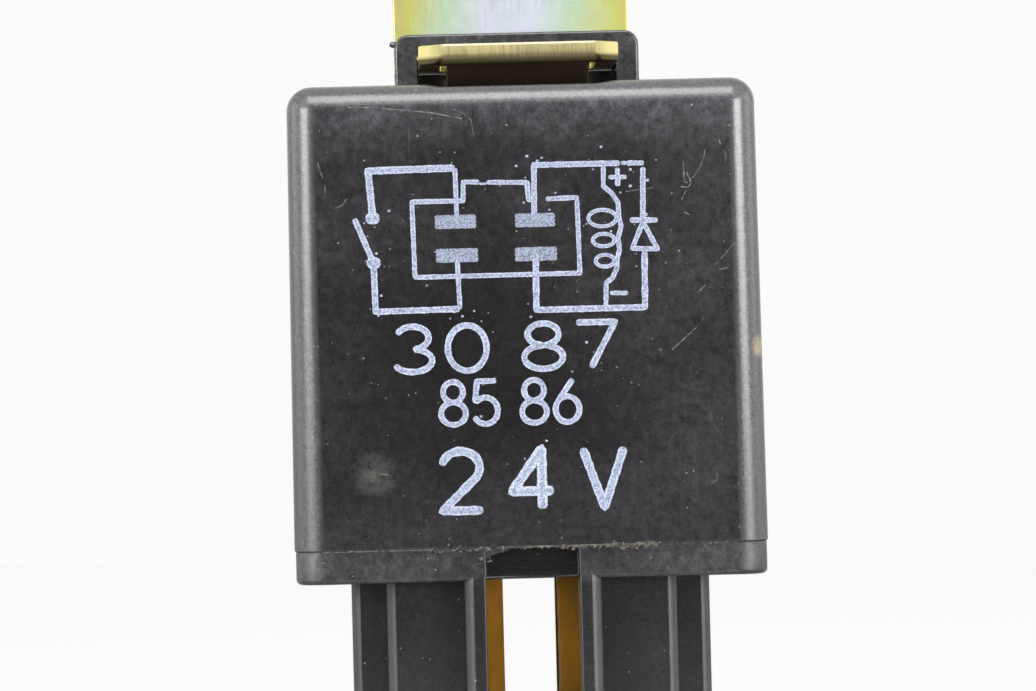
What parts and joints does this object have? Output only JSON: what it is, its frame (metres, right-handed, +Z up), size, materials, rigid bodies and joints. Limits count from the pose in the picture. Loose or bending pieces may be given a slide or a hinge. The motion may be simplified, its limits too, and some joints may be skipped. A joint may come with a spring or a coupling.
{
  "type": "plug-in relay",
  "caption": "Plug-in automotive relay: black moulded cover on a base with a stepped plug shroud and blade terminals, sprung armature inside, and a pressed steel mounting bracket on top.",
  "frame": {"origin": "centre of the plug shroud's rim, on which the relay stands", "axes": "+Z up from the shroud's rim to the bracket, front towards -Y, bracket tab towards +Y"},
  "size_m": [0.0288, 0.0252, 0.0692],
  "materials": {
    "case_plastic": "moulded black thermoplastic with a fine grain",
    "chromated_steel": "zinc plated, yellow chromate",
    "terminal_brass": "tarnished brass strip",
    "magnet_iron": "dull plated soft iron",
    "bobbin_plastic": "moulded natural nylon",
    "enamelled_copper": "enamelled copper wire",
    "rivet_steel": "tinned steel",
    "spring_bronze": "rolled bronze leaf",
    "contact_silver": "silver alloy",
    "diode_resin": "moulded epoxy"
  },
  "bodies": {
    "case": {"cover": "case_plastic", "base": "case_plastic", "mounting_bracket": "chromated_steel", "terminal_contact": "terminal_brass", "terminal_common": "terminal_brass", "terminal_coil_plus": "terminal_brass", "terminal_coil_minus": "terminal_brass", "yoke": "magnet_iron", "core": "magnet_iron", "bobbin": "bobbin_plastic", "coil_winding": "enamelled_copper", "coil_leads": "enamelled_copper", "spring_rivets": "rivet_steel", "fixed_contact": "contact_silver", "armature_stop": "terminal_brass", "diode_body": "diode_resin", "diode_leads": "rivet_steel"},
    "armature": {"armature": "magnet_iron", "armature_rivets": "rivet_steel", "contact_spring": "spring_bronze", "moving_contact": "contact_silver"}
  },
  "joints": [
    {"name": "armature_pivot", "type": "hinge", "parent": "case", "child": "armature", "pos_m": [0, 0.00842, 0.03965], "axis": [1, 0, 0], "range_deg": [0, 3.5], "stiffness_Nm_per_rad": 0.02, "springref_deg": -5.73, "deforming": ["contact_spring"]}
  ]
}
